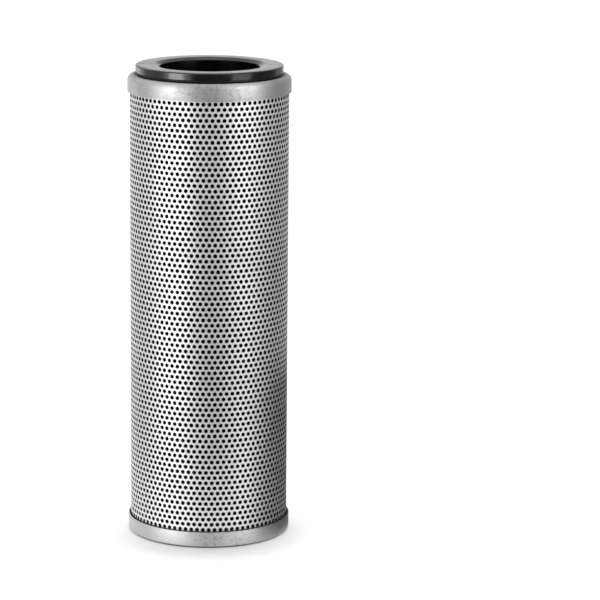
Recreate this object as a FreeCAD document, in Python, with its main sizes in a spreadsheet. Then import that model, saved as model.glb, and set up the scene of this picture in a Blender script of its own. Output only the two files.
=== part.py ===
import FreeCAD, Part
import math
import os
import Sketcher

# Hydraulic filter element that stands on its closed end cap.
# Lengths are in millimetres. Z is the element's axis, and z = 0 is the face that it stands on.

SIZES = [
    ("overall_height", 437.0, "from the standing face to the top of the seal ring"),
    ("cap_sheet", 1.0, "thickness of the stamped cap sheet"),
    ("collar_bend", 0.8, "bevel where the seat turns down into the collar"),
    ("top_skirt", 15.2, "top cap, from the rim to the lip"),
    ("top_shoulder", 5.0, "outside radius between the top cap's rim and skirt"),
    ("rim_edge", 0.6, "broken edge inside the top cap's rim"),
    ("shoulder_bevel", 3.0, "bevel inside the top cap, behind its shoulder"),
    ("rim_width", 6.7, "from the top cap's outside to the wall of the ring's seat"),
    ("ring_seat", 1.6, "depth of the seal ring's seat below the rim"),
    ("ring_play", 0.6, "clearance round the seal ring in its seat"),
    ("collar_depth", 8.0, "collar drawn down round the top cap's hole, from the seat"),
    ("bottom_skirt", 14.8, "bottom cap, from the standing face to the lip"),
    ("bottom_corner", 3.0, "outside radius round the standing face"),
    ("raised_centre", 72.0, "diameter of the bottom cap's raised middle"),
    ("raised_height", 3.0, "height of the raised middle"),
    ("raised_slope", 3.0, "width of the slope round the raised middle"),
    ("raised_bend", 0.4, "how far the slope's inner face stands outside its outer one"),
    ("guard_diameter", 145.6, "outside of the perforated guard"),
    ("guard_sheet", 0.8, "thickness of the guard's sheet"),
    ("guard_play", 1.2, "clearance of the guard in both end caps"),
    ("guard_inset", 3.4, "from each end of the guard to its cap's sheet"),
    ("guard_opening", 20.0, "side of one opening in the guard"),
    ("guard_columns", 12.0, "openings in one row of the guard"),
    ("guard_rows", 10.0, "rows of openings between the caps"),
    ("ring_proud", 9.1, "how far the seal ring stands above the rim"),
    ("ring_edge", 0.6, "broken outer edges of the seal ring"),
    ("ring_bore", 91.5, "bore of the seal ring, which takes the spigot"),
    ("ring_mouth", 1.2, "lead-in at the bore's mouth"),
    ("bore_depth", 23.0, "length of the seal ring along its bore"),
    ("sleeve_wall", 2.75, "thickness of the seal ring's sleeve"),
    ("sleeve_play", 0.4, "clearance between the sleeve and the cap's collar"),
    ("core_step", 2.05, "how far the core's inside stands inside the seal ring's bore"),
    ("core_sheet", 0.8, "thickness of the core's sheet"),
    ("core_opening", 13.0, "side of one opening in the core"),
    ("core_columns", 6.0, "openings in one row of the core"),
    ("core_rows", 6.0, "rows of openings in the core"),
    ("punch_travel", 2.0, "how far a punch goes past the wall"),
    ("potting_depth", 14.0, "depth of the set adhesive in the bottom cap"),
    ("core_grip", 2.7, "how far the top adhesive reaches down past the sleeve's end, round the core"),
    ("glue_gap", 0.1, "gap left between glued round faces"),
    ("pleats", 36.0, "pleats around the pack"),
    ("pleat_play", 0.4, "clearance of the pleats to the guard and the core"),
    ("mesh_layer", 0.35, "thickness of each support mesh"),
    ("media_layer", 0.7, "thickness of the filter media"),
    ("layer_gap", 0.06, "gap between two layers"),
    ("seam_play", 0.12, "clearance of the pack's two ends to their fold line"),
    ("clip_sheet", 0.6, "thickness of the seam clip"),
    ("clip_leg", 5.0, "how far the clip reaches along the pleat"),
    ("clip_play", 0.18, "clearance of the clip's web to the pack's two ends"),
]

doc = FreeCAD.newDocument("filter_element")
sizes = doc.addObject("Spreadsheet::Sheet", "sizes")
for row, (alias, value, meaning) in enumerate(SIZES, start=1):
    sizes.set(f"A{row}", meaning)
    sizes.set(f"B{row}", str(value))
    sizes.setAlias(f"B{row}", alias)
doc.recompute()

# Heights and radii that more than one piece shares, written as formulas of the sheet's cells.
RIM = "(sizes.overall_height - sizes.ring_proud)"
SEAT = f"({RIM} - sizes.ring_seat)"
TOP_LIP = f"({RIM} - sizes.top_skirt)"
GUARD = "(sizes.guard_diameter / 2)"
GUARD_INSIDE = f"({GUARD} - sizes.guard_sheet)"
CAP_INSIDE = f"({GUARD} + sizes.guard_play)"
CAP = f"({CAP_INSIDE} + sizes.cap_sheet)"
SEAT_WALL = f"({CAP} - sizes.rim_width)"
RING = f"({SEAT_WALL} - sizes.ring_play)"
BORE = "(sizes.ring_bore / 2)"
SLEEVE = f"({BORE} + sizes.sleeve_wall)"
SLEEVE_END = "(sizes.overall_height - sizes.bore_depth)"
COLLAR = f"({SLEEVE} + sizes.sleeve_play)"
CORE = f"({BORE} - sizes.core_step)"
CORE_OUTSIDE = f"({CORE} + sizes.core_sheet)"
POTTING_TOP = f"({SLEEVE_END} - sizes.core_grip)"
POTTING_BOTTOM = "(sizes.cap_sheet + sizes.potting_depth)"


def origin_feature(body, role):
    """The body's own plane or axis with this role."""
    return next(item for item in body.Origin.OriginFeatures if item.Role == role)


def upright_sketch(body, name):
    """A sketch on the body's XZ plane: its x is the radius, its y the height."""
    sketch = body.newObject("Sketcher::SketchObject", name)
    sketch.AttachmentSupport = (origin_feature(body, "XZ_Plane"), [""])
    sketch.MapMode = "FlatFace"
    return sketch


def add_outline(sketch, corners):
    """A closed outline whose corners (radius, height) are formulas of the sheet's cells.

    It starts as a plain ring of points, and its constraints then put each corner in place.
    """
    start_place, start_radius = 60, 20
    first = sketch.GeometryCount
    count = len(corners)
    turn = 2 * math.pi / count
    centre = FreeCAD.Vector(start_place, start_place, 0)
    start = [centre + FreeCAD.Vector(math.cos(i * turn), math.sin(i * turn), 0) * start_radius
             for i in range(count)]
    for i in range(count):
        sketch.addGeometry(Part.LineSegment(start[i], start[(i + 1) % count]))
    for i in range(count):
        sketch.addConstraint(Sketcher.Constraint("Coincident", first + i, 2, first + (i + 1) % count, 1))
    for i, (radius, height) in enumerate(corners):
        for kind, formula, axis in (("DistanceX", radius, -2), ("DistanceY", height, -1)):
            if formula == "0":
                sketch.addConstraint(Sketcher.Constraint("PointOnObject", first + i, 1, axis))
                continue
            index = sketch.addConstraint(Sketcher.Constraint(kind, -1, 1, first + i, 1, start_place))
            sketch.setExpression(f"Constraints[{index}]", formula)


def turned(label, corners, rounds=()):
    """A body turned about Z from an outline; rounds gives (corner number, radius formula)."""
    body = doc.addObject("PartDesign::Body", label)
    sketch = upright_sketch(body, label + "_profile")
    add_outline(sketch, corners)
    turning = body.newObject("PartDesign::Revolution", label + "_turned")
    turning.Profile = sketch
    turning.ReferenceAxis = (sketch, ["V_Axis"])
    turning.Angle = 360
    doc.recompute()
    tolerance = 1e-4
    for corner, radius in rounds:
        place = sketch.getPoint(corner, 1)
        base = body.Tip
        names = [f"Edge{i}" for i, edge in enumerate(base.Shape.Edges, start=1)
                 if isinstance(edge.Curve, Part.Circle)
                 and abs(edge.Curve.Radius - place.x) < tolerance
                 and abs(edge.Curve.Center.z - place.y) < tolerance]
        fillet = body.newObject("PartDesign::Fillet", f"{label}_round_{corner}")
        fillet.Base = (base, names)
        fillet.setExpression("Radius", radius)
        doc.recompute()
    return body


def opening_corners(size, height):
    """Corners of one opening on the sketch's upright axis."""
    half = f"({size} / 2)"
    return [(f"0 - {half}", f"{height} - {half}"),
            (half, f"{height} - {half}"),
            (half, f"{height} + {half}"),
            (f"0 - {half}", f"{height} + {half}")]


def perforated(label, outside, inside, low, high, field_low, field_high, opening, columns, rows):
    """A tube along Z with staggered rows of openings spread evenly over a part of its height."""
    body = doc.addObject("PartDesign::Body", label)
    wall = upright_sketch(body, label + "_wall")
    add_outline(wall, [(inside, low), (outside, low), (outside, high), (inside, high)])
    rolled = body.newObject("PartDesign::Revolution", label + "_rolled")
    rolled.Profile = wall
    rolled.ReferenceAxis = (wall, ["V_Axis"])
    rolled.Angle = 360
    doc.recompute()
    row_count = int(sizes.get(rows.split(".")[1]))
    pitch = f"(({field_high} - {field_low}) / {rows})"
    for odd in (0, 1):
        sketch = upright_sketch(body, f"{label}_row_{odd}")
        sketch.AttachmentOffset = FreeCAD.Placement(FreeCAD.Vector(), FreeCAD.Rotation(0, 1, 0, 1))
        sketch.setExpression("AttachmentOffset.Rotation.Angle", f"{odd} * 180 / {columns}")
        for row in range(odd, row_count, 2):
            add_outline(sketch, opening_corners(opening, f"({field_low} + {pitch} * {row + 0.5})"))
        punch = body.newObject("PartDesign::Pocket", f"{label}_punch_{odd}")
        punch.Profile = sketch
        punch.setExpression("Length", f"{outside} + sizes.punch_travel")
        doc.recompute()
        around = body.newObject("PartDesign::PolarPattern", f"{label}_around_{odd}")
        around.Originals = [punch]
        around.Axis = (origin_feature(body, "Z_Axis"), [""])
        around.Angle = 360
        around.setExpression("Occurrences", columns)
        body.Tip = around
        doc.recompute()
    return body


def make_outer_guard():
    """Perforated steel tube round the pleats, with its ends inside both caps."""
    low = "(sizes.cap_sheet + sizes.guard_inset)"
    high = f"({RIM} - sizes.cap_sheet - sizes.guard_inset)"
    return perforated("outer_guard", GUARD, GUARD_INSIDE, low, high, "sizes.bottom_skirt", TOP_LIP,
                      "sizes.guard_opening", "sizes.guard_columns", "sizes.guard_rows")


def make_core_tube():
    """Perforated tube that carries the pleats from inside; its top end meets the sleeve's level."""
    low = "(sizes.cap_sheet + sizes.guard_inset)"
    high = f"({SLEEVE_END} - sizes.glue_gap)"
    return perforated("core_tube", CORE_OUTSIDE, CORE, low, high, POTTING_BOTTOM, POTTING_TOP,
                      "sizes.core_opening", "sizes.core_columns", "sizes.core_rows")


def make_top_cap():
    """Stamped cap: skirt, rounded shoulder, narrow rim, ring seat and a collar drawn down."""
    collar_end = f"({SEAT} - sizes.collar_depth)"
    corners = [
        (CAP_INSIDE, TOP_LIP),
        (CAP, TOP_LIP),
        (CAP, RIM),
        (f"{SEAT_WALL} + sizes.rim_edge", RIM),
        (SEAT_WALL, f"{RIM} - sizes.rim_edge"),
        (SEAT_WALL, SEAT),
        (f"{COLLAR} + sizes.collar_bend", SEAT),
        (COLLAR, f"{SEAT} - sizes.collar_bend"),
        (COLLAR, collar_end),
        (f"{COLLAR} + sizes.cap_sheet", collar_end),
        (f"{COLLAR} + sizes.cap_sheet", f"{SEAT} - sizes.cap_sheet"),
        (f"{SEAT_WALL} + sizes.cap_sheet", f"{SEAT} - sizes.cap_sheet"),
        (f"{SEAT_WALL} + sizes.cap_sheet", f"{RIM} - sizes.cap_sheet"),
        (f"{CAP_INSIDE} - sizes.shoulder_bevel", f"{RIM} - sizes.cap_sheet"),
        (CAP_INSIDE, f"{RIM} - sizes.cap_sheet - sizes.shoulder_bevel"),
    ]
    return turned("top_cap", corners, [(2, "sizes.top_shoulder")])


def make_bottom_cap():
    """Stamped closed cup that stands on the flat round its raised middle."""
    middle = "(sizes.raised_centre / 2)"
    foot = f"({middle} + sizes.raised_slope)"
    inside_bend = "(sizes.bottom_corner - sizes.cap_sheet)"
    corners = [
        ("0", "sizes.raised_height"),
        (middle, "sizes.raised_height"),
        (foot, "0"),
        (CAP, "0"),
        (CAP, "sizes.bottom_skirt"),
        (CAP_INSIDE, "sizes.bottom_skirt"),
        (CAP_INSIDE, f"sizes.cap_sheet + {inside_bend}"),
        (f"{CAP_INSIDE} - {inside_bend}", "sizes.cap_sheet"),
        (f"{foot} + sizes.raised_bend", "sizes.cap_sheet"),
        (f"{middle} + sizes.raised_bend", "sizes.raised_height + sizes.cap_sheet"),
        ("0", "sizes.raised_height + sizes.cap_sheet"),
    ]
    return turned("bottom_cap", corners, [(3, "sizes.bottom_corner")])


def make_seal_ring():
    """Moulded ring that seats in the top cap, with its sleeve down through the cap's collar."""
    corners = [
        (f"{BORE} + sizes.ring_mouth", "sizes.overall_height"),
        (BORE, "sizes.overall_height - sizes.ring_mouth"),
        (BORE, SLEEVE_END),
        (SLEEVE, SLEEVE_END),
        (SLEEVE, SEAT),
        (f"{RING} - sizes.ring_edge", SEAT),
        (RING, f"{SEAT} + sizes.ring_edge"),
        (RING, "sizes.overall_height - sizes.ring_edge"),
        (f"{RING} - sizes.ring_edge", "sizes.overall_height"),
    ]
    return turned("seal_ring", corners)


def make_top_potting():
    """Set adhesive under the top cap, with a ledge that holds the core's top end."""
    outside = f"({GUARD_INSIDE} - sizes.glue_gap)"
    cap_underside = f"({SEAT} - sizes.cap_sheet)"
    seat_outside = f"({SEAT_WALL} + sizes.cap_sheet)"
    collar_outside = f"({COLLAR} + sizes.cap_sheet + sizes.glue_gap)"
    ledge = f"({SLEEVE_END} - sizes.glue_gap)"
    corners = [
        (f"{CORE_OUTSIDE} + sizes.glue_gap", POTTING_TOP),
        (outside, POTTING_TOP),
        (outside, f"{cap_underside} - {outside} + {seat_outside}"),
        (seat_outside, cap_underside),
        (collar_outside, cap_underside),
        (collar_outside, ledge),
        (f"{CORE_OUTSIDE} + sizes.glue_gap", ledge),
    ]
    return turned("top_potting", corners)


def make_bottom_potting():
    """Set adhesive in the bottom cap, between the core and the guard."""
    outside = f"({GUARD_INSIDE} - sizes.glue_gap)"
    corners = [
        (f"{CORE_OUTSIDE} + sizes.glue_gap", "sizes.cap_sheet"),
        (outside, "sizes.cap_sheet"),
        (outside, POTTING_BOTTOM),
        (f"{CORE_OUTSIDE} + sizes.glue_gap", POTTING_BOTTOM),
    ]
    return turned("bottom_potting", corners)


class PleatPack:
    """Lays out the folded layers. A depth is measured square to the sheet, from the outer mesh's face."""

    def __init__(self):
        self.count = int(sizes.pleats)
        self.step = 2 * math.pi / self.count
        self.outer = sizes.guard_diameter / 2 - sizes.guard_sheet - sizes.pleat_play
        self.inner = sizes.ring_bore / 2 - sizes.core_step + sizes.core_sheet + sizes.pleat_play
        self.low = sizes.cap_sheet + sizes.potting_depth
        self.high = sizes.overall_height - sizes.bore_depth - sizes.core_grip
        self.thickness = 2 * sizes.mesh_layer + sizes.media_layer + 2 * sizes.layer_gap
        mean_radius = (self.outer + self.inner) / 2
        half_fold = mean_radius * self.step / 2
        self.slant = math.hypot(self.outer - self.inner, half_fold) / half_fold
        self.reach = self.outer - self.inner - self.thickness * self.slant
        self.seam = self.outer - self.thickness * self.slant - sizes.seam_play

    def fold(self, depth, index):
        """Even folds point out, odd folds point in; fold 0 would lie on the seam."""
        radius = self.outer - depth * self.slant
        if index % 2:
            radius -= self.reach
        angle = index * self.step / 2
        return FreeCAD.Vector(radius * math.cos(angle), radius * math.sin(angle), self.low)

    def on_end_flank(self, depth, radius, last):
        """Point of the sheet's first or last flank at about this radius."""
        tip = 2 * self.count if last else 0
        root = tip - 1 if last else 1
        share = (self.outer - depth * self.slant - radius) / self.reach
        return self.fold(depth, tip) * (1 - share) + self.fold(depth, root) * share

    def face_line(self, depth):
        """One face of a layer, from the seam all the way round to the seam."""
        folds = [self.fold(depth, index) for index in range(1, 2 * self.count)]
        first = self.on_end_flank(depth, self.seam, False)
        last = self.on_end_flank(depth, self.seam, True)
        return [first, *folds, last]

    def upright(self, points):
        """Solid over a closed outline, from one potting face to the other."""
        face = Part.Face(Part.makePolygon([*points, points[0]]))
        return face.extrude(FreeCAD.Vector(0, 0, self.high - self.low))

    def layer(self, depth, thickness):
        return self.upright(self.face_line(depth) + self.face_line(depth + thickness)[::-1])

    def clip(self):
        """Channel over the two ends of the pack, pushed on from outside."""
        inner_face = -sizes.layer_gap
        outer_face = inner_face - sizes.clip_sheet
        web = self.seam + sizes.clip_play
        leg_end = self.seam - sizes.clip_leg
        inside = [(inner_face, leg_end), (inner_face, web)]
        outside = [(outer_face, web + sizes.clip_sheet), (outer_face, leg_end)]
        left = [self.on_end_flank(depth, radius, False) for depth, radius in outside + inside]
        right = [self.on_end_flank(depth, radius, True) for depth, radius in outside + inside]
        return self.upright(left + right[::-1])


def feature(label, shape):
    """A document object that holds a shape worked out from the sheet."""
    item = doc.addObject("Part::Feature", label)
    item.Shape = shape
    item.Placement = FreeCAD.Placement()
    return item


def make_pleats():
    """The three folded layers, from the inflow side inwards, and the clip that closes them."""
    pack = PleatPack()
    media_depth = sizes.mesh_layer + sizes.layer_gap
    inner_depth = media_depth + sizes.media_layer + sizes.layer_gap
    return [
        feature("outer_support_mesh", pack.layer(0, sizes.mesh_layer)),
        feature("filter_media", pack.layer(media_depth, sizes.media_layer)),
        feature("inner_support_mesh", pack.layer(inner_depth, sizes.mesh_layer)),
        feature("pleat_seam_clip", pack.clip()),
    ]


nodes = [
    make_outer_guard(),
    make_top_cap(),
    make_bottom_cap(),
    make_seal_ring(),
    make_core_tube(),
    make_top_potting(),
    make_bottom_potting(),
    *make_pleats(),
]
doc.recompute()

for item in doc.Objects:
    if "Invalid" in item.State or "Error" in item.State:
        raise RuntimeError(f"{item.Label} did not rebuild: {item.State}")
for node in nodes:
    if node.Shape.isNull() or not node.Shape.isValid() or len(node.Shape.Solids) != 1:
        raise RuntimeError(f"{node.Label} is not one valid solid")

os.makedirs("parts", exist_ok=True)
for node in nodes:
    node.Shape.exportStep(f"parts/{node.Label}.step")
    print(node.Label, "volume", round(node.Shape.Volume / 1000, 2), "cm3")
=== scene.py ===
"""Looks, studio and camera for the hydraulic filter element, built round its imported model.

Every length is in metres, in the model's own frame: Z is the element's axis, z = 0 is the face
that it stands on, and the camera looks along +Y.
"""

import logging
import math
from collections.abc import Callable
from dataclasses import dataclass, replace
from enum import Enum
from typing import Union

import bmesh
import bpy
from mathutils import Matrix, Vector


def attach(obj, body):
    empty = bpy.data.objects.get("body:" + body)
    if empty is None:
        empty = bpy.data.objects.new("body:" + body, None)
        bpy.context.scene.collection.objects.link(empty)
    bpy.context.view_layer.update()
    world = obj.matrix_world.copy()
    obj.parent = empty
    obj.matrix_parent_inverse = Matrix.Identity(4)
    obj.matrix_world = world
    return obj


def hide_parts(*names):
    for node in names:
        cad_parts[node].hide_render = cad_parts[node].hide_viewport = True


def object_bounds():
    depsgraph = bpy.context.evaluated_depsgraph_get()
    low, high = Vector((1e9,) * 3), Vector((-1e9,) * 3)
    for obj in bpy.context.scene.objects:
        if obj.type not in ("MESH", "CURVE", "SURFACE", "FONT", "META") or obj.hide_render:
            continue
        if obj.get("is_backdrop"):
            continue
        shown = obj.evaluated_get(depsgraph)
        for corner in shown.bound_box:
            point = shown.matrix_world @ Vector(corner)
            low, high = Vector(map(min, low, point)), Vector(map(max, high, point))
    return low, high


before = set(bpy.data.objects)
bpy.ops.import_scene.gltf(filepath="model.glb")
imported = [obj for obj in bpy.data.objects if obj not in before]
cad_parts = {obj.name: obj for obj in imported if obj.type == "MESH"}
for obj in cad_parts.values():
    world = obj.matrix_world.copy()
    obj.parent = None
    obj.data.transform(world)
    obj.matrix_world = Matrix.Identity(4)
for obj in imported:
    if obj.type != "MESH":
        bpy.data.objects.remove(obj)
log = logging.getLogger("filter_element")

MM = 0.001
PER_MM = 1 / MM
TOUCH = 0.01 * MM
FULL_TURN = 2 * math.pi
BODY = "root"

# Sizes that several pieces share.
HEIGHT = 437.0 * MM
CAP_RADIUS = 75.0 * MM
CAP_SHEET = 1.0 * MM
RIM = HEIGHT - 9.1 * MM
SEAT = RIM - 1.6 * MM
GUARD_RADIUS = 72.8 * MM
TUBE_SHEET = 0.8 * MM
TUBE_INSET = 3.4 * MM
SLEEVE_END = HEIGHT - 23.0 * MM

# Edges sharper than these angles are broken with a bevel, and kept sharp in the shading.
BREAK_ANGLE = math.radians(35)
SHADE_ANGLE = math.radians(30)

# Scales a length so that a ramp spans 2.5 mm of it.
PER_FADE = 1 / (2.5 * MM)
NOISE_MEAN = 0.5
# In whole turns, as the shader counts a rotation.
QUARTER_TURN = 0.25


class Slot(Enum):
    """The record's material slot names; each new piece carries one, but nothing here gives it to
    the piece.
    """

    GUARD = "guard_steel"
    CAP = "cap_steel"
    RUBBER = "black_rubber"
    CORE = "black_steel"


class Grain(Enum):
    """Which way a metal's fine marks run."""

    TURNED = "rings round the axis, as on a stamped and spun cap"
    ROLLED = "short marks up the sheet, as on a rolled tube"


class Reach(Enum):
    """What a lamp lights."""

    GLOSS = "the reflections in metal and rubber"
    MATT = "the floor and other matt faces"


# ---------------------------------------------------------------- shader graphs


Number = Union["Value", float]
Colour = Union[bpy.types.NodeSocket, tuple[float, float, float, float]]
Stops = tuple[tuple[float, float], ...]


class Value:
    """A socket with a number on it. Arithmetic on it adds Math nodes to its graph."""

    def __init__(self, graph: "Graph", socket: bpy.types.NodeSocket) -> None:
        """Wraps a socket of a graph."""
        self.graph = graph
        self.socket = socket

    def _math(self, operation: str, first: Number, second: Number = 0.0) -> "Value":
        """Adds one Math node.

        Args:
            operation: The node's operation.
            first: Its first number or value.
            second: Its second number or value.

        Returns:
            The node's result.
        """
        node = self.graph.node("ShaderNodeMath", {"operation": operation}, {0: first, 1: second})
        return Value(self.graph, node.outputs[0])

    def __add__(self, other: Number) -> "Value":
        """Sum."""
        return self._math("ADD", self, other)

    def __radd__(self, other: float) -> "Value":
        """Sum with a number on the left."""
        return self._math("ADD", other, self)

    def __sub__(self, other: Number) -> "Value":
        """Difference."""
        return self._math("SUBTRACT", self, other)

    def __rsub__(self, other: float) -> "Value":
        """Difference from a number on the left."""
        return self._math("SUBTRACT", other, self)

    def __mul__(self, other: Number) -> "Value":
        """Product."""
        return self._math("MULTIPLY", self, other)

    def __rmul__(self, other: float) -> "Value":
        """Product with a number on the left."""
        return self._math("MULTIPLY", other, self)

    def __truediv__(self, other: Number) -> "Value":
        """Quotient."""
        return self._math("DIVIDE", self, other)

    def __rtruediv__(self, other: float) -> "Value":
        """Quotient with a number on the left."""
        return self._math("DIVIDE", other, self)

    def __pow__(self, other: float) -> "Value":
        """Power."""
        return self._math("POWER", self, other)

    def sine(self) -> "Value":
        """Sine of an angle in radians."""
        return self._math("SINE", self)

    def at_most(self, limit: Number) -> "Value":
        """The lower of two values."""
        return self._math("MINIMUM", self, limit)


class Graph:
    """The node graph of one material, whose patterns read Object coordinates."""

    def __init__(self, name: str) -> None:
        """Makes a material with an empty graph."""
        self.material = bpy.data.materials.new(name)
        self.material.use_nodes = True
        self.tree = self.material.node_tree
        self.tree.nodes.clear()
        self.place = self.node("ShaderNodeTexCoord").outputs["Object"]

    def node(self, kind: str, settings: dict | None = None,
             inputs: dict | None = None) -> bpy.types.Node:
        """Adds a node.

        Args:
            kind: The node's type.
            settings: Its settings, which are set first; stops are a ramp's (position, grey) pairs.
            inputs: Numbers, colours or links for its sockets, by name or number.

        Returns:
            The new node.
        """
        made = self.tree.nodes.new(kind)
        for name, setting in (settings or {}).items():
            if name == "stops":
                self._set_stops(made.color_ramp, setting)
            else:
                setattr(made, name, setting)
        for name, given in (inputs or {}).items():
            source = given.socket if isinstance(given, Value) else given
            if isinstance(source, bpy.types.NodeSocket):
                self.tree.links.new(source, made.inputs[name])
            else:
                made.inputs[name].default_value = source
        return made

    @staticmethod
    def _set_stops(ramp: bpy.types.ColorRamp, stops: Stops) -> None:
        """Gives a ramp its stops. New ones start halfway and are then put in their place."""
        while len(ramp.elements) < len(stops):
            ramp.elements.new(0.5)
        for element, (position, level) in zip(ramp.elements, stops):
            element.position = position
            element.color = grey(level)

    def axes(self) -> tuple[Value, Value, Value]:
        """The x, y and z of the place on the object."""
        split = self.node("ShaderNodeSeparateXYZ", inputs={0: self.place})
        return tuple(Value(self, socket) for socket in split.outputs)

    def radius(self, behind: float = 0.0) -> Value:
        """Distance from the element's axis, or from a line that far behind it."""
        x, y, _ = self.axes()
        return (x * x + (y - behind) ** 2) ** 0.5

    def vector(self, x: Number, y: Number, z: Number) -> bpy.types.NodeSocket:
        """Joins three values into a vector."""
        return self.node("ShaderNodeCombineXYZ", inputs={0: x, 1: y, 2: z}).outputs[0]

    def noise(self, scale: float, detail: float = 3.0,
              place: bpy.types.NodeSocket | None = None) -> Value:
        """A noise pattern.

        Args:
            scale: Cells to the metre.
            detail: Octaves.
            place: Where it is read; the object's own coordinates if left out.

        Returns:
            The noise, about NOISE_MEAN on average.
        """
        made = self.node("ShaderNodeTexNoise", {"noise_dimensions": "3D"},
                         {"Vector": place or self.place, "Scale": scale, "Detail": detail})
        return Value(self, made.outputs[0])

    def ramp(self, value: Value, stops: Stops) -> Value:
        """Passes a value through a grey ramp."""
        made = self.node("ShaderNodeValToRGB", {"stops": stops}, {0: value})
        return Value(self, made.outputs[0])

    def rise(self, value: Value, start: float, full: float) -> Value:
        """0 up to where a value starts to count, and 1 from where it counts in full."""
        return self.ramp(value, ((start, 0.0), (full, 1.0)))

    def fall(self, value: Value, start: float, end: float) -> Value:
        """1 up to where a value starts to count less, and 0 from where it ends."""
        return self.ramp(value, ((start, 1.0), (end, 0.0)))

    def mixed(self, factor: Value, first: Colour, second: Colour) -> bpy.types.NodeSocket:
        """Mixes two colours."""
        made = self.node("ShaderNodeMix", {"data_type": "RGBA"}, {0: factor, 6: first, 7: second})
        return made.outputs[2]

    def bump(self, height: Value, depth: float) -> bpy.types.NodeSocket:
        """Turns a height from 0 to 1 into a bump.

        Args:
            height: The pattern.
            depth: Its full depth in metres.

        Returns:
            The bumped normal.
        """
        inputs = {"Height": height, "Distance": depth, "Strength": 1.0}
        return self.node("ShaderNodeBump", inputs=inputs).outputs[0]

    def end_in(self, shader: bpy.types.Node) -> bpy.types.Material:
        """Links a shader to the material's output.

        Args:
            shader: The graph's last shader node.

        Returns:
            The finished material.
        """
        self.node("ShaderNodeOutputMaterial", inputs={"Surface": shader.outputs[0]})
        return self.material

    def surface(self, inputs: dict) -> bpy.types.Material:
        """Ends the graph in a Principled shader.

        Args:
            inputs: Constants or links for the shader's sockets.

        Returns:
            The finished material.
        """
        return self.end_in(self.node("ShaderNodeBsdfPrincipled", inputs=inputs))


def grey(level: float, warmth: float = 0.0) -> tuple[float, float, float, float]:
    """A grey as a colour, warmer or, with a warmth below 0, cooler."""
    return (level * (1 + warmth), level, level * (1 - warmth), 1.0)


# ---------------------------------------------------------------- finishes


@dataclass(frozen=True)
class Patches:
    """Noise that stands in patches.

    Attributes:
        scale: Cells to the metre.
        detail: Octaves.
        bare: Level of the noise up to which nothing shows.
        full: Level of the noise from which a patch is full.
    """

    scale: float
    detail: float
    bare: float
    full: float

    def drawn(self, graph: Graph) -> Value:
        """Draws the patches on a graph: 1 on them and 0 between them."""
        return graph.rise(graph.noise(self.scale, self.detail), self.bare, self.full)


@dataclass(frozen=True)
class Wear:
    """How much each kind of mark adds to a sheet's wear, which is 0 on clean and 1 on dull tin;
    dark_reflection and specks_on_dark_reflection add the painted dark reflection.
    """

    blotches: float = 0.20
    # Weight of the painted dark reflection, which is not wear.
    dark_reflection: float = 0.45
    lines: float = 0.32
    specks: float = 0.06
    specks_on_blotches: float = 0.18
    specks_on_dark_reflection: float = 0.55
    average: float = 0.3


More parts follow.
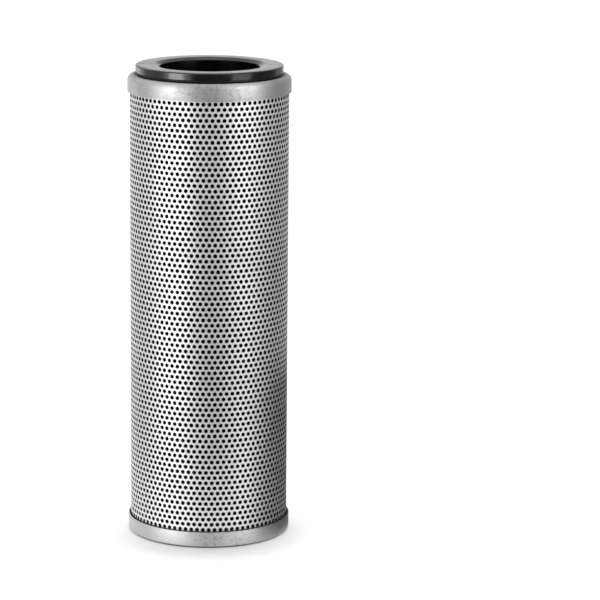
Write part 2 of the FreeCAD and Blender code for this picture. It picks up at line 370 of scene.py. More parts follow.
@dataclass(frozen=True)
class TinnedSheet:
    """Bright tinned steel sheet with fine marks and dull blotches; a mottled painted dark
    reflection on one side, and painted shade in holes, over a lip and at the foot.

    Attributes:
        grain: Which way the fine marks run.
        bright: Grey of the clean tin.
        dull: Grey of the worn tin.
        roughness: Roughness at average wear.
        roughness_spread: How far wear changes the roughness.
        stretch: How far reflections are drawn out.
        marks: Depth of the fine marks.
        dark_reflection: Direction that the painted dark reflection faces, in degrees from the
            front.
        dark_reflection_strength: How strong the painted dark reflection is.
        dark_reflection_edge: Cosines of the angles at which the painted dark reflection starts and
            is full.
        skin: Radius inside which, so on the walls of punched holes and the inner face, the sheet
            gets painted shade; 0 for none.
        hole_shade_depths: Millimetres inside the skin where the painted shade starts and is full.
        lip_shade_height: Height of a cap's lip, just over which the sheet gets a painted shadow of
            the space between guard and cap; 0 for none.
        stands: Whether the foot's outer lower edge gets a painted shade, the floor's contact
            shadow painted onto it.
        foot_edge: Radius from which foot_reach is measured outwards.
        rings: Turned marks to the metre.
        waver: Their slow drift, as (cells to the metre, size).
        strokes: Rolled marks to the metre, across the sheet and up it.

    lip_shade_fade, foot_fade and foot_reach say where each fade starts and ends, in shares of 2.5
    mm.
    """

    name: str
    grain: Grain
    bright: float
    dull: float
    roughness: float = 0.40
    roughness_spread: float = 0.22
    stretch: float = 0.0
    marks: float = 0.02 * MM
    dark_reflection: float = 6.0
    dark_reflection_strength: float = 0.0
    dark_reflection_edge: tuple[float, float] = (0.90, 0.985)
    skin: float = 0.0
    hole_shade_depths: tuple[float, float] = (0.02, 0.07)
    hole_shade_roughness: float = 0.4
    hole_shade_grey: float = 0.02
    lip_shade_height: float = 0.0
    lip_shade_fade: tuple[float, float] = (0.10, 0.70)
    stands: bool = False
    foot_edge: float = 70.0 * MM
    foot_reach: tuple[float, float] = (0.40, 0.80)
    foot_fade: tuple[float, float] = (0.10, 0.80)
    painted_shade_grey: float = 0.06
    bright_warmth: float = -0.004
    dull_warmth: float = -0.012
    rings: float = 1100.0
    waver: tuple[float, float] = (45.0, 3.0)
    strokes: tuple[float, float] = (1700.0, 240.0)
    blotches: Patches = Patches(42, 5, 0.42, 0.62)
    specks: Patches = Patches(380, 4, 0.50, 0.64)
    wear: Wear = Wear()

    def _lines(self, graph: Graph) -> Value:
        """Draws the fine marks along the grain."""
        x, y, z = graph.axes()
        if self.grain is Grain.TURNED:
            scale, size = self.waver
            drift = graph.noise(scale, 2) * size
            place = graph.vector(graph.radius() * self.rings, z * self.rings, drift)
        else:
            across, up = self.strokes
            place = graph.vector(x * across, y * across, z * up)
        return graph.noise(1.0, 4, place)

    def _painted_dark_reflection(self, graph: Graph) -> Value:
        """Draws the painted dark reflection, a darker patch on the side that faces its direction.
        """
        x, y, _ = graph.axes()
        side = math.radians(self.dark_reflection)
        facing = (x * math.sin(side) - y * math.cos(side)) / graph.radius()
        return graph.rise(facing, *self.dark_reflection_edge) * self.dark_reflection_strength

    def material(self) -> bpy.types.Material:
        """Makes the finish's material."""
        graph = Graph(self.name)
        wear = self.wear
        lines = self._lines(graph)
        blotches = self.blotches.drawn(graph)
        # Painted dark reflection: a mottled darker patch on the camera's side, summed into worn
        # with the real wear.
        dark_reflection_mask = self._painted_dark_reflection(graph)
        specked = self.specks.drawn(graph) * (
            wear.specks + blotches * wear.specks_on_blotches + dark_reflection_mask * wear.specks_on_dark_reflection)
        worn = (blotches * wear.blotches + specked
                + dark_reflection_mask * wear.dark_reflection + lines * wear.lines).at_most(1.0)
        roughness = self.roughness + (worn - wear.average) * self.roughness_spread
        colour = graph.mixed(worn, grey(self.bright, self.bright_warmth),
                             grey(self.dull, self.dull_warmth))
        _, _, z = graph.axes()
        # Painted shade: the hole walls and the inner face turn dark and rougher.
        if self.skin:
            below = graph.rise((self.skin - graph.radius()) * PER_MM, *self.hole_shade_depths)
            colour = graph.mixed(below, colour, grey(self.hole_shade_grey))
            roughness = roughness + below * self.hole_shade_roughness
        # Painted shadow: darker just over the cap's lip, where guard and cap leave a narrow space.
        if self.lip_shade_height:
            line = graph.fall((z - self.lip_shade_height) * PER_FADE, *self.lip_shade_fade)
            colour = graph.mixed(line, colour, grey(self.painted_shade_grey))
        # Painted shade: the foot's rounded outer edge turns dark, as the contact shadow on the
        # floor would show in it.
        if self.stands:
            low = graph.fall(z * PER_FADE, *self.foot_fade)
            outside = graph.rise((graph.radius() - self.foot_edge) * PER_FADE, *self.foot_reach)
            colour = graph.mixed(low * outside, colour, grey(self.painted_shade_grey))
        return graph.surface({
            "Base Color": colour,
            "Metallic": 1.0,
            "Roughness": roughness,
            "Anisotropic": self.stretch,
            "Anisotropic Rotation": QUARTER_TURN,
            "Normal": graph.bump(lines, self.marks),
        })


@dataclass(frozen=True)
class MouldedRubber:
    """Smooth black moulded rubber with a fine grain and a faint bloom in patches."""

    name: str
    black: float = 0.002
    bloomed: float = 0.005
    bloom: Patches = Patches(70, 4, 0.40, 0.75)
    grain: float = 2600.0
    grain_depth: float = 0.006 * MM
    roughness: float = 0.16
    bloom_roughness: float = 0.10
    grain_roughness: float = 0.08
    specular: float = 0.9

    def material(self) -> bpy.types.Material:
        """Makes the finish's material."""
        graph = Graph(self.name)
        bloom = self.bloom.drawn(graph)
        grain = graph.noise(self.grain, 2)
        return graph.surface({
            "Base Color": graph.mixed(bloom, grey(self.black), grey(self.bloomed)),
            "Roughness": (self.roughness + bloom * self.bloom_roughness
                          + (grain - NOISE_MEAN) * self.grain_roughness),
            "Specular IOR Level": self.specular,
            "Normal": graph.bump(grain, self.grain_depth),
        })


@dataclass(frozen=True)
class BlackPaint:
    """Glossy black paint on the core's steel, rubbed thin in patches."""

    name: str
    black: float = 0.012
    worn: float = 0.10
    rubbed: Patches = Patches(140, 5, 0.60, 0.78)
    peel: float = 900.0
    peel_depth: float = 0.02 * MM
    roughness: float = 0.28
    worn_roughness: float = 0.15
    coat: float = 0.35
    coat_roughness: float = 0.12

    def material(self) -> bpy.types.Material:
        """Makes the finish's material."""
        graph = Graph(self.name)
        rubbed = self.rubbed.drawn(graph)
        return graph.surface({
            "Base Color": graph.mixed(rubbed, grey(self.black), grey(self.worn)),
            "Roughness": self.roughness + rubbed * self.worn_roughness,
            "Coat Weight": self.coat,
            "Coat Roughness": self.coat_roughness,
            "Normal": graph.bump(graph.noise(self.peel, 2), self.peel_depth),
        })


@dataclass(frozen=True)
class SetAdhesive:
    """Dark potting compound, matt, with small bubbles."""

    name: str
    dark: float = 0.035
    pale: float = 0.075
    warmth: float = 0.03
    flow: float = 90.0
    bubbles: Patches = Patches(700, 1, 0.66, 0.74)
    bubble_depth: float = 0.1 * MM
    roughness: float = 0.55
    flow_roughness: float = 0.2

    def material(self) -> bpy.types.Material:
        """Makes the finish's material."""
        graph = Graph(self.name)
        flow = graph.noise(self.flow, 4)
        bubbles = self.bubbles.drawn(graph)
        return graph.surface({
            "Base Color": graph.mixed(flow, grey(self.dark, self.warmth),
                                      grey(self.pale, self.warmth)),
            "Roughness": self.roughness + flow * self.flow_roughness,
            "Normal": graph.bump(1 - bubbles, self.bubble_depth),
        })


@dataclass(frozen=True)
class WovenWire:
    """Black coated wire mesh: wires up and across, wires of them to the metre; the openings
    between them are painted darker, a painted shade.
    """

    name: str
    wires: float = 1100.0
    wire: float = 0.022
    opening_shade: float = 0.004
    wire_depth: float = 0.08 * MM
    coating: float = 400.0
    roughness: float = 0.5
    roughness_spread: float = 0.2

    def material(self) -> bpy.types.Material:
        """Makes the finish's material."""
        graph = Graph(self.name)
        x, y, z = graph.axes()
        across = ((x + y) * (self.wires * math.pi)).sine()
        up = (z * (self.wires * math.pi)).sine()
        wires = 1 - (across * across * (up * up))
        uneven = graph.noise(self.coating) - NOISE_MEAN
        return graph.surface({
            "Base Color": graph.mixed(wires, grey(self.opening_shade), grey(self.wire)),
            "Roughness": self.roughness + uneven * self.roughness_spread,
            "Normal": graph.bump(wires, self.wire_depth),
        })


@dataclass(frozen=True)
class FibreFleece:
    """Pale fleece of fine glass fibre; fibres are cells to the metre, across and up."""

    name: str
    pale: float = 0.62
    shade: float = 0.45
    warmth: float = 0.03
    fibres: tuple[float, float] = (900.0, 250.0)
    fibre_depth: float = 0.05 * MM
    roughness: float = 0.85
    roughness_spread: float = 0.1

    def material(self) -> bpy.types.Material:
        """Makes the finish's material."""
        graph = Graph(self.name)
        x, y, z = graph.axes()
        across, up = self.fibres
        fibres = graph.noise(1.0, 4, graph.vector(x * across, y * across, z * up))
        return graph.surface({
            "Base Color": graph.mixed(fibres, grey(self.shade, self.warmth),
                                      grey(self.pale, self.warmth)),
            "Roughness": self.roughness + (fibres - NOISE_MEAN) * self.roughness_spread,
            "Normal": graph.bump(fibres, self.fibre_depth),
        })


# ---------------------------------------------------------------- working on a mesh


def deselect() -> None:
    """Deselects all, the CAD nodes too."""
    bpy.ops.object.select_all(action="DESELECT")


def take(piece: bpy.types.Object) -> None:
    """Makes a piece the only one that operators act on."""
    deselect()
    piece.select_set(True)
    bpy.context.view_layer.objects.active = piece


def settle(piece: bpy.types.Object) -> None:
    """Puts a piece's place and turn into its mesh."""
    take(piece)
    bpy.ops.object.transform_apply(location=True, rotation=True, scale=True)


def choose_edges(piece: bpy.types.Object, test: Callable[[bmesh.types.BMEdge], bool]) -> None:
    """Enters edit mode with only the edges that pass a test selected.

    Args:
        piece: The piece to work on.
        test: Says whether an edge is wanted.
    """
    take(piece)
    bpy.ops.object.mode_set(mode="EDIT")
    bpy.ops.mesh.select_mode(type="EDGE")
    bpy.ops.mesh.select_all(action="DESELECT")
    mesh = bmesh.from_edit_mesh(piece.data)
    for edge in mesh.edges:
        if test(edge):
            edge.select_set(True)
    bmesh.update_edit_mesh(piece.data)


def close_mesh(piece: bpy.types.Object) -> None:
    """Merges points that meet and turns the faces outwards."""
    take(piece)
    bpy.ops.object.mode_set(mode="EDIT")
    bpy.ops.mesh.select_all(action="SELECT")
    bpy.ops.mesh.remove_doubles(threshold=TOUCH)
    bpy.ops.mesh.normals_make_consistent(inside=False)
    bpy.ops.object.mode_set(mode="OBJECT")


def modify(piece: bpy.types.Object, kind: str, **settings: object) -> None:
    """Adds a modifier and applies it.

    Args:
        piece: The piece to change.
        kind: The modifier's type.
        **settings: The modifier's settings.
    """
    take(piece)
    added = piece.modifiers.new(kind.lower(), kind)
    for name, setting in settings.items():
        setattr(added, name, setting)
    bpy.ops.object.modifier_apply(modifier=added.name)


def repeat(piece: bpy.types.Object, count: int, step: tuple[float, float, float]) -> None:
    """Repeats a piece's mesh in a row.

    Args:
        piece: The piece to repeat.
        count: How often it stands in the row.
        step: The way from one to the next.
    """
    modify(piece, "ARRAY", count=count, use_relative_offset=False, use_constant_offset=True,
           constant_offset_displace=step)


def break_edges(piece: bpy.types.Object, width: float, faces: int) -> None:
    """Bevels a piece's sharp edges, each with that many faces across it."""
    modify(piece, "BEVEL", width=width, segments=faces, angle_limit=BREAK_ANGLE)


def shade(piece: bpy.types.Object) -> None:
    """Shades a piece smooth, apart from its sharp edges."""
    take(piece)
    bpy.ops.object.shade_smooth_by_angle(angle=SHADE_ANGLE)


def hand_over(piece: bpy.types.Object, node: str, finish: bpy.types.Material) -> None:
    """Dresses a new piece and puts it in its CAD node's stead.

    Args:
        piece: The finished piece.
        node: The CAD node that it stands for.
        finish: Its material.
    """
    piece.data.materials.clear()
    piece.data.materials.append(finish)
    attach(piece, BODY)
    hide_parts(node)
    piece.data.calc_loop_triangles()
    log.info("%s: %d triangles", piece.name, len(piece.data.loop_triangles))


# ---------------------------------------------------------------- perforated tubes


@dataclass
class RolledTube:
    """Tube rolled from perforated sheet: one hole's cell is repeated over a flat sheet, which is
    rolled round the axis and then given its wall. A tall tube is made in bands of equal height.

    Attributes:
        radius: Radius of the outside.
        hole: Diameter of a hole.
        row_pitch: Height from one row of holes to the next, which is half a spacing on.
        first_row: Height of the lowest row.
        rows_in_band: Rows in one band, an even number.
        foot: Height of the tube's lower end.
        head: Height of its upper end.
    """

    name: str
    node: str
    slot: Slot
    radius: float
    hole: float
    holes_around: int
    row_pitch: float
    first_row: float
    rows_in_band: int
    bands: int
    head: float
    foot: float = CAP_SHEET + TUBE_INSET
    wall: float = TUBE_SHEET
    hole_corners: int = 12

    @property
    def spacing(self) -> float:
        """Distance between neighbouring holes of a row, on the outside."""
        return FULL_TURN * self.radius / self.holes_around

    @property
    def lean(self) -> float:
        """How far a cell's corners lie over or under half a row pitch, because a cell's slanted
        sides run halfway between its hole and those of the next row."""
        return self.spacing ** 2 / (8 * self.row_pitch)

    @property
    def tip(self) -> float:
        """Height of a cell's upper and lower corner over its hole's centre."""
        return self.row_pitch / 2 + self.lean

    @property
    def side(self) -> float:
        """Height of a cell's four side corners over its hole's centre."""
        return self.row_pitch / 2 - self.lean

    def cut_cell(self) -> bpy.types.Object:
        """Makes the sheet round one hole, lying flat.

        A regular hexagon is stretched until its side corners are in place, and then its upper and
        lower corner are moved on their own.

        Returns:
            A six-sided cell with a round hole.
        """
        deselect()
        corner = self.spacing / 2 / math.cos(math.radians(30))
        bpy.ops.mesh.primitive_circle_add(vertices=6, radius=corner)
        cell = bpy.context.object
        choose_edges(cell, lambda edge: True)
        bpy.ops.transform.resize(value=(1, self.side / (corner / 2), 1), center_override=(0, 0, 0))
        bpy.ops.mesh.select_mode(type="VERT")
        bpy.ops.mesh.select_all(action="DESELECT")
        mesh = bmesh.from_edit_mesh(cell.data)
        for point in mesh.verts:
            point.select_set(abs(point.co.x) < TOUCH)
        bmesh.update_edit_mesh(cell.data)
        bpy.ops.transform.resize(value=(1, self.tip / (2 * self.side), 1),
                                 center_override=(0, 0, 0))
        bpy.ops.mesh.primitive_circle_add(vertices=self.hole_corners, radius=self.hole / 2)
        bpy.ops.mesh.select_all(action="SELECT")
        bpy.ops.mesh.fill(use_beauty=True)
        bpy.ops.object.mode_set(mode="OBJECT")
        return cell

    def punch_band(self) -> bpy.types.Object:
        """Repeats the cell over one band, upright and facing the front.

        Returns:
            The flat band, with its first row of holes at first_row.
        """
        band = self.cut_cell()
        repeat(band, 2, (self.spacing / 2, self.row_pitch, 0))
        repeat(band, self.holes_around, (self.spacing, 0, 0))
        repeat(band, self.rows_in_band // 2, (0, 2 * self.row_pitch, 0))
        band.rotation_euler = (math.pi / 2, 0, 0)
        band.location = (self.spacing / 2, 0, self.first_row)
        settle(band)
        close_mesh(band)
        return band

    def leave_margin(self, band: bpy.types.Object, end: float, level: float, side: int) -> None:
        """Carries the sheet on past the holes, up to a straight end.

        Args:
            band: The flat band.
            end: Height of the straight end.
            level: Height of the last row of holes on that side.
            side: 1 for the upper end and -1 for the lower one.
        """
        limit = self.side - TOUCH

        def past_the_holes(edge: bmesh.types.BMEdge) -> bool:
            return all((point.co.z - level) * side > limit for point in edge.verts)

        choose_edges(band, past_the_holes)
        bpy.ops.mesh.extrude_edges_move()
        bpy.ops.transform.resize(value=(1, 1, 0), center_override=(0, 0, end))
        bpy.ops.object.mode_set(mode="OBJECT")

    def roll(self, band: bpy.types.Object) -> None:
        """Rolls a flat band into a closed tube and gives it its wall, inwards."""
        places = [point.co.x for point in band.data.vertices]
        share = (max(places) - min(places)) / (self.spacing * self.holes_around)
        modify(band, "SIMPLE_DEFORM", deform_method="BEND", deform_axis="Z",
               angle=FULL_TURN * share)
        band.location = (0, -self.radius, 0)
        settle(band)
        close_mesh(band)
        modify(band, "SOLIDIFY", thickness=self.wall, offset=-1)
        shade(band)

    def build(self, finish: bpy.types.Material) -> list[bpy.types.Object]:
        """Builds the tube's bands and dresses them.

        Args:
            finish: The tube's material.

        Returns:
            The finished bands, from the lowest up.
        """
        first = self.punch_band()
        band_height = self.rows_in_band * self.row_pitch
        made = [first]
        for number in range(1, self.bands):
            band = first.copy()
            band.data = first.data.copy()
            bpy.context.collection.objects.link(band)
            band.location = (0, 0, number * band_height)
            settle(band)
            made.append(band)
        last_row = self.first_row + (self.rows_in_band * self.bands - 1) * self.row_pitch
        self.leave_margin(made[0], self.foot, self.first_row, -1)
        self.leave_margin(made[-1], self.head, last_row, 1)
        for number, band in enumerate(made, start=1):
            band.name = self.name if self.bands == 1 else f"{self.name}_band_{number}"
            self.roll(band)
            hand_over(band, self.node, finish)
        return made


# ---------------------------------------------------------------- turned pieces


@dataclass
class TurnedPiece:
    """A piece of revolution: a ring is extruded from corner to corner of an outline."""

    name: str
    node: str
    slot: Slot
    steps: int = 144

    def outline(self) -> list[tuple[float, float]]:
        """The corners as (radius, height)."""
        raise NotImplementedError

    def turn(self) -> bpy.types.Object:
        """Draws the outline round the axis.

        Returns:
            The turned skin, with its meeting points merged.
        """
        deselect()
        (radius, height), *rest = self.outline()
        bpy.ops.mesh.primitive_circle_add(vertices=self.steps, radius=radius,
                                          location=(0, 0, height))
        piece = bpy.context.object
        piece.name = self.name
        settle(piece)
        choose_edges(piece, lambda edge: True)
        for next_radius, next_height in rest:
            bpy.ops.mesh.extrude_edges_move(
                TRANSFORM_OT_translate={"value": (0, 0, next_height - height)})
            scale = next_radius / radius
            bpy.ops.transform.resize(value=(scale, scale, 1), center_override=(0, 0, next_height))
            radius, height = next_radius, next_height
        bpy.ops.object.mode_set(mode="OBJECT")
        close_mesh(piece)
        return piece

    @staticmethod
    def round_off(piece: bpy.types.Object, corner: tuple[float, float], radius: float,
                  faces: int) -> None:
        """Rounds one ring of edges.

        Args:
            piece: The turned piece.
            corner: The ring's radius and height.
            radius: The radius of the round.
            faces: Faces across it.
        """
        def on_corner(edge: bmesh.types.BMEdge) -> bool:
            return all(abs(point.co.z - corner[1]) < TOUCH
                       and abs(point.co.xy.length - corner[0]) < TOUCH for point in edge.verts)

        choose_edges(piece, on_corner)
        bpy.ops.mesh.bevel(offset=radius, segments=faces, affect="EDGES")
        bpy.ops.object.mode_set(mode="OBJECT")


@dataclass
class StampedCap(TurnedPiece):
    """A cap drawn from steel sheet, whose outline is its outer skin."""

    radius: float = CAP_RADIUS
    sheet: float = CAP_SHEET
    edge: float = 0.22 * MM
    edge_faces: int = 2

    def press(self, level: float, rounding: float, faces: int,
              finish: bpy.types.Material) -> bpy.types.Object:
        """Turns the skin, rounds its outer corner, gives it the sheet and dresses it.

        Args:
            level: Height of the outer corner.
            rounding: Radius of its round.
            faces: Faces across the round.
            finish: The cap's material.

        Returns:
            The finished cap.
        """
        cap = self.turn()
        self.round_off(cap, (self.radius, level), rounding, faces)
        modify(cap, "SOLIDIFY", thickness=self.sheet, offset=-1, use_even_offset=True)
        break_edges(cap, self.edge, self.edge_faces)
        shade(cap)
        hand_over(cap, self.node, finish)
        return cap


@dataclass
class TopCap(StampedCap):
    """Stamped cap at the open end: skirt, rounded shoulder, narrow rim, ring seat and collar."""

    lip: float = RIM - 15.2 * MM
    shoulder: float = 5.0 * MM
    shoulder_faces: int = 8
    seat_wall: float = 68.3 * MM
    rim_edge: float = 0.6 * MM
    collar: float = 48.9 * MM
    collar_bend: float = 0.8 * MM
    collar_end: float = SEAT - 8.0 * MM

    def outline(self) -> list[tuple[float, float]]:
        """The outer skin, from the skirt's lip to the collar's end."""
        return [
            (self.radius, self.lip),
            (self.radius, RIM),
            (self.seat_wall + self.rim_edge, RIM),
            (self.seat_wall, RIM - self.rim_edge),
            (self.seat_wall, SEAT),
            (self.collar + self.collar_bend, SEAT),
            (self.collar, SEAT - self.collar_bend),
            (self.collar, self.collar_end),
        ]

    def build(self, finish: bpy.types.Material) -> bpy.types.Object:
        """Builds and dresses the cap."""
        return self.press(RIM, self.shoulder, self.shoulder_faces, finish)


@dataclass
class BottomCap(StampedCap):
    """Stamped closed cap that the element stands on, with a raised middle."""

    lip: float = 14.8 * MM
    corner: float = 3.0 * MM
    corner_faces: int = 6
    raised_radius: float = 36.0 * MM
    raised_height: float = 3.0 * MM
    slope: float = 3.0 * MM

    def outline(self) -> list[tuple[float, float]]:
        """The outer skin, from the skirt's lip to the middle."""
        return [
            (self.radius, self.lip),
            (self.radius, 0.0),
            (self.raised_radius + self.slope, 0.0),
            (self.raised_radius, self.raised_height),
            (0.0, self.raised_height),
        ]

    def build(self, finish: bpy.types.Material) -> bpy.types.Object:
        """Builds and dresses the cap."""
        return self.press(0.0, self.corner, self.corner_faces, finish)


@dataclass
class SealRing(TurnedPiece):
    """Thick moulded ring on the top cap, with its sleeve down through the cap's collar.

    Attributes:
        foot: Height of the foot, which is undercut and tapers in to the seat.
        rounding: The outer top edge, as (inwards from the radius, down from the top).
        lead_in: The bore's mouth, as (radius, down from the top).
    """

    radius: float = 67.7 * MM
    foot: float = 4.1 * MM
    undercut: float = 0.7 * MM
    taper: float = 0.6 * MM
    rounding: Stops = (
        (0.0, 0.90 * MM), (0.3 * MM, 0.45 * MM), (0.8 * MM, 0.20 * MM), (1.6 * MM, 0.06 * MM),
        (3.0 * MM, 0.0))
    bore: float = 45.75 * MM
    lead_in: Stops = (
        (53.2 * MM, 0.0), (51.8 * MM, 0.10 * MM), (50.8 * MM, 0.26 * MM), (50.0 * MM, 0.46 * MM),
        (46.4 * MM, 1.60 * MM), (45.95 * MM, 1.85 * MM), (45.75 * MM, 2.15 * MM),
        (45.75 * MM, 2.5 * MM))
    sleeve: float = 48.5 * MM
    edge: float = 0.35 * MM
    edge_faces: int = 3

    def outline(self) -> list[tuple[float, float]]:
        """The closed section, once round from the bore's mouth and back to it."""
        mouth = [(radius, HEIGHT - depth) for radius, depth in self.lead_in]
        return [
            *mouth,
            (self.bore, SLEEVE_END),
            (self.sleeve, SLEEVE_END),
            (self.sleeve, SEAT),
            (self.radius - self.undercut - self.taper, SEAT),
            (self.radius - self.undercut, SEAT + self.foot - self.undercut),
            (self.radius, SEAT + self.foot),
            *[(self.radius - inward, HEIGHT - depth) for inward, depth in self.rounding],
            mouth[0],
        ]

    def build(self, finish: bpy.types.Material) -> bpy.types.Object:
        """Builds and dresses the ring."""
        ring = self.turn()
        break_edges(ring, self.edge, self.edge_faces)
        shade(ring)
        hand_over(ring, self.node, finish)
        return ring


# ---------------------------------------------------------------- the pack inside


@dataclass
class PleatedPack:
    """The folded layers, their clip and the potting, which keep their CAD solids."""

    outer_mesh: str = "outer_support_mesh"
    media: str = "filter_media"
    inner_mesh: str = "inner_support_mesh"
    clip: str = "pleat_seam_clip"
    potting: tuple[str, str] = ("top_potting", "bottom_potting")

    def dress(self) -> None:
        """Gives each solid its finish."""
        wire = WovenWire("coated_wire").material()
        adhesive = SetAdhesive("set_adhesive").material()
        dressed = {
            self.outer_mesh: wire,
            self.inner_mesh: wire,
            self.media: FibreFleece("fibre_fleece").material(),
            self.clip: TinnedSheet("clip_strip", Grain.ROLLED, bright=0.45, dull=0.30).material(),
        }
        dressed.update({node: adhesive for node in self.potting})
        for node, finish in dressed.items():
            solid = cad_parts[node]
            if not solid.material_slots:
                solid.data.materials.append(finish)
            for slot in solid.material_slots:
                slot.material = finish
            log.info("%s keeps its solid and gets %s", node, finish.name)


# ---------------------------------------------------------------- studio


@dataclass(frozen=True)
class Lamp:
    """A soft box that faces the element.

    Attributes:
        azimuth: Direction to the lamp, in degrees from the front.
        elevation: Its angle over the level of the element's middle, in degrees.
        power: Its power in watts.
        lights: What it lights.
    """

    name: str
    azimuth: float
    elevation: float
    distance: float
    width: float
    height: float
    power: float
    lights: Reach = Reach.GLOSS

    def hang(self, aim: Vector) -> None:
        """Hangs the lamp so that it faces a point.

        Args:
            aim: The point that it faces.
        """
        around, up = math.radians(self.azimuth), math.radians(self.elevation)
        away = Vector((math.sin(around) * math.cos(up), -math.cos(around) * math.cos(up),
                       math.sin(up)))
        light = bpy.data.lights.new(self.name, "AREA")
        light.shape = "RECTANGLE"
        light.size = self.width
        light.size_y = self.height
        light.energy = self.power
        holder = bpy.data.objects.new(self.name, light)
        holder.location = aim + away * self.distance
        holder.rotation_euler = away.to_track_quat("Z", "Y").to_euler()
        holder.visible_camera = False
        holder.visible_glossy = self.lights is Reach.GLOSS
        holder.visible_diffuse = self.lights is Reach.MATT
        bpy.context.collection.objects.link(holder)


@dataclass(frozen=True)
class Card:
    """An upright grey card that only reflections see.

    Attributes:
        azimuth: Direction to the card, in degrees from the front.
        level: How bright it is.
    """

    name: str
    azimuth: float
    distance: float
    width: float
    height: float
    level: float

    def stand(self) -> bpy.types.Object:
        """Stands the card on the floor, facing the element."""
        deselect()
        around = math.radians(self.azimuth)
        bpy.ops.mesh.primitive_plane_add(
            size=1, rotation=(math.pi / 2, 0, around),
            location=(math.sin(around) * self.distance, -math.cos(around) * self.distance,
                      self.height / 2))
        card = bpy.context.object
        card.name = self.name
        card.scale = (self.width, self.height, 1)
        settle(card)
        graph = Graph(self.name)
        glow = graph.node("ShaderNodeEmission",
                          inputs={"Color": grey(self.level), "Strength": 1.0})
        card.data.materials.append(graph.end_in(glow))
        card.visible_camera = False
        card.visible_diffuse = False
        card.visible_shadow = False
        card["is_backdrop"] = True
        return card


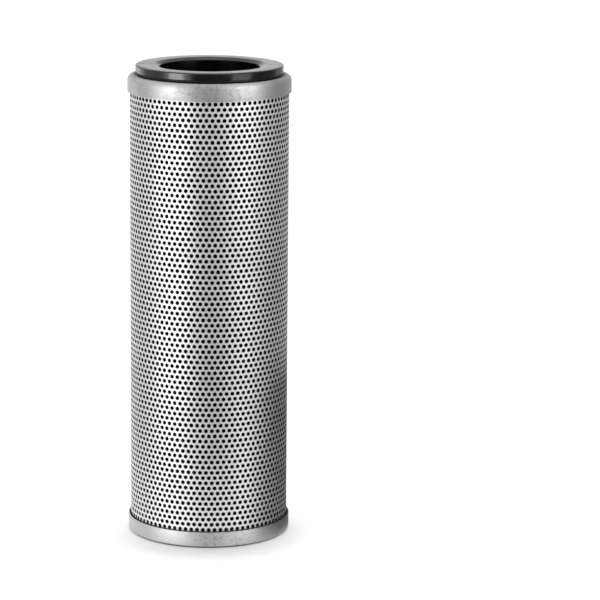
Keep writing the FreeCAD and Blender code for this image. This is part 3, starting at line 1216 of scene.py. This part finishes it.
@dataclass
class Studio:
    """Pale floor, white surroundings, soft boxes and the camera.

    Attributes:
        fill_and_painted_shadow: Stops of the floor's own glow, as (distance from
            painted_shadow_centre, strength); the glow is weaker near the foot, a painted shadow.
        painted_shadow_centre: y of the line from which that distance is measured, in front of the
            axis so that the painted shadow lies mostly in front.
        camera_reach: Nearest and farthest distance that the camera sees.
        camera_pitch: How far the camera looks down; its three angles are in radians.
    """

    floor_size: float = 30.0
    floor_level: float = 0.78
    fill_and_painted_shadow: Stops = ((0.043, 0.05), (0.080, 0.25), (0.092, 0.29))
    painted_shadow_centre: float = -0.035
    lens: float = 181.776
    sensor_width: float = 36.0
    camera_reach: tuple[float, float] = (0.1, 100.0)
    camera_place: tuple[float, float, float] = (0.0, -2.750, 0.79233)
    camera_pitch: float = 0.20606
    camera_turn: float = -0.03062
    camera_roll: float = 0.00829
    lamps: tuple[Lamp, ...] = (
        Lamp("left_box", -52, 7, 1.05, 0.45, 0.76, 4.1),
        Lamp("right_box", 46, 31, 1.1, 0.44, 0.80, 6.0),
        Lamp("left_rim_box", -148, 6, 1.2, 0.40, 0.50, 0.9),
        Lamp("right_rim_box", 150, 6, 1.2, 0.40, 0.50, 0.8),
        Lamp("top_box", 180, 86.5, 1.5, 0.20, 0.20, 6.2, lights=Reach.MATT),
    )
    cards: tuple[Card, ...] = (
        Card("front_card", 2.5, 0.20, 0.21, 0.9, 0.08),
        Card("right_card", 84, 0.20, 0.20, 0.9, 0.15),
        Card("far_right_card", 125, 0.20, 0.10, 0.9, 0.42),
        Card("low_right_card", 88, 0.105, 0.16, 0.15, 0.06),
        Card("low_far_right_card", 130, 0.115, 0.12, 0.14, 0.10),
        Card("left_card", -86, 0.20, 0.16, 0.9, 0.46),
        Card("foot_card", 82, 0.083, 0.15, 0.015, 0.03),
        Card("back_card", 180, 0.90, 1.20, 0.66, 0.97),
        Card("high_back_card", 180, 1.00, 1.60, 1.50, 0.42),
    )

    @staticmethod
    def _seen(graph: Graph) -> Value:
        """1 for rays from the camera, from gloss or through glass, and 0 for the rest."""
        path = graph.node("ShaderNodeLightPath")
        seen = Value(graph, path.outputs["Is Camera Ray"])
        seen = seen + Value(graph, path.outputs["Is Glossy Ray"])
        return (seen + Value(graph, path.outputs["Is Transmission Ray"])).at_most(1.0)

    def lay_floor(self) -> None:
        """Lays the pale floor, which keeps the element's shadow; its glow is also weaker round the
        foot, a painted shadow.
        """
        deselect()
        bpy.ops.mesh.primitive_plane_add(size=self.floor_size)
        floor = bpy.context.object
        floor.name = "floor"
        graph = Graph("pale_floor")
        matt = graph.node("ShaderNodeBsdfDiffuse", inputs={"Color": grey(self.floor_level)})
        # Painted shadow: the floor's glow fades out towards the foot, mostly in front.
        level = graph.ramp(graph.radius(self.painted_shadow_centre), self.fill_and_painted_shadow)
        fill = graph.node("ShaderNodeEmission",
                          inputs={"Color": grey(1.0), "Strength": self._seen(graph) * level})
        both = graph.node("ShaderNodeAddShader", inputs={0: matt.outputs[0], 1: fill.outputs[0]})
        floor.data.materials.append(graph.end_in(both))
        floor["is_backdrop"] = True

    def light_world(self) -> None:
        """Makes the surroundings white."""
        world = bpy.data.worlds.new("white_studio")
        bpy.context.scene.world = world
        world.use_nodes = True
        back = world.node_tree.nodes["Background"]
        back.inputs["Color"].default_value = grey(1.0)
        back.inputs["Strength"].default_value = 1.0

    def set_camera(self) -> None:
        """Stands the camera where the photograph was taken from."""
        data = bpy.data.cameras.new("camera")
        data.lens = self.lens
        data.sensor_width = self.sensor_width
        data.clip_start, data.clip_end = self.camera_reach
        camera = bpy.data.objects.new("camera", data)
        turn = (Matrix.Rotation(self.camera_turn, 4, "Z")
                @ Matrix.Rotation(math.pi / 2 - self.camera_pitch, 4, "X")
                @ Matrix.Rotation(self.camera_roll, 4, "Z"))
        camera.matrix_world = Matrix.Translation(self.camera_place) @ turn
        bpy.context.collection.objects.link(camera)
        bpy.context.scene.camera = camera

    def set_up(self) -> None:
        """Sets up floor, surroundings, lamps, cards and camera."""
        bpy.context.scene.view_settings.view_transform = "Standard"
        self.lay_floor()
        self.light_world()
        low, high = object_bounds()
        for lamp in self.lamps:
            lamp.hang((low + high) / 2)
        for card in self.cards:
            card.stand()
        self.set_camera()


# ---------------------------------------------------------------- the element


def outer_guard() -> RolledTube:
    """The bright guard round the pleats."""
    return RolledTube(
        name="guard", node="outer_guard", slot=Slot.GUARD,
        radius=GUARD_RADIUS, hole=3.75 * MM, holes_around=85, row_pitch=4.914 * MM,
        first_row=11.93 * MM, rows_in_band=28, bands=3, head=RIM - CAP_SHEET - TUBE_INSET)


def core_tube() -> RolledTube:
    """The black tube that carries the pleats from inside."""
    return RolledTube(
        name="core", node="core_tube", slot=Slot.CORE,
        radius=44.5 * MM, hole=4.6 * MM, holes_around=40, row_pitch=6.05 * MM,
        first_row=11.5 * MM, rows_in_band=66, bands=1, head=SLEEVE_END - 0.1 * MM)


def main() -> None:
    """Builds the element piece by piece, then the studio."""
    logging.basicConfig(level=logging.INFO, format="%(name)s: %(message)s")
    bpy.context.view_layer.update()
    # Both cap sheets carry a painted dark reflection on the side that faces the camera.
    top_sheet = TinnedSheet("tinned_top_sheet", Grain.TURNED, bright=0.70, dull=0.48,
                            roughness=0.63, stretch=0.5, dark_reflection_strength=0.60)
    foot_sheet = replace(top_sheet, name="tinned_foot_sheet", dark_reflection=9.0, dark_reflection_strength=0.40,
                         stands=True)
    # The guard sheet has painted shade in its holes and a painted shadow just over the bottom
    # cap's lip.
    guard_sheet = TinnedSheet("tinned_guard_sheet", Grain.ROLLED, bright=0.86, dull=0.72,
                              roughness=0.60, skin=GUARD_RADIUS, lip_shade_height=14.6 * MM)
    outer_guard().build(guard_sheet.material())
    core_tube().build(BlackPaint("core_paint").material())
    TopCap("cap_top", "top_cap", Slot.CAP).build(top_sheet.material())
    BottomCap("cap_bottom", "bottom_cap", Slot.CAP).build(foot_sheet.material())
    SealRing("ring", "seal_ring", Slot.RUBBER).build(MouldedRubber("ring_rubber").material())
    PleatedPack().dress()
    Studio().set_up()


if __name__ == "__main__":
    main()
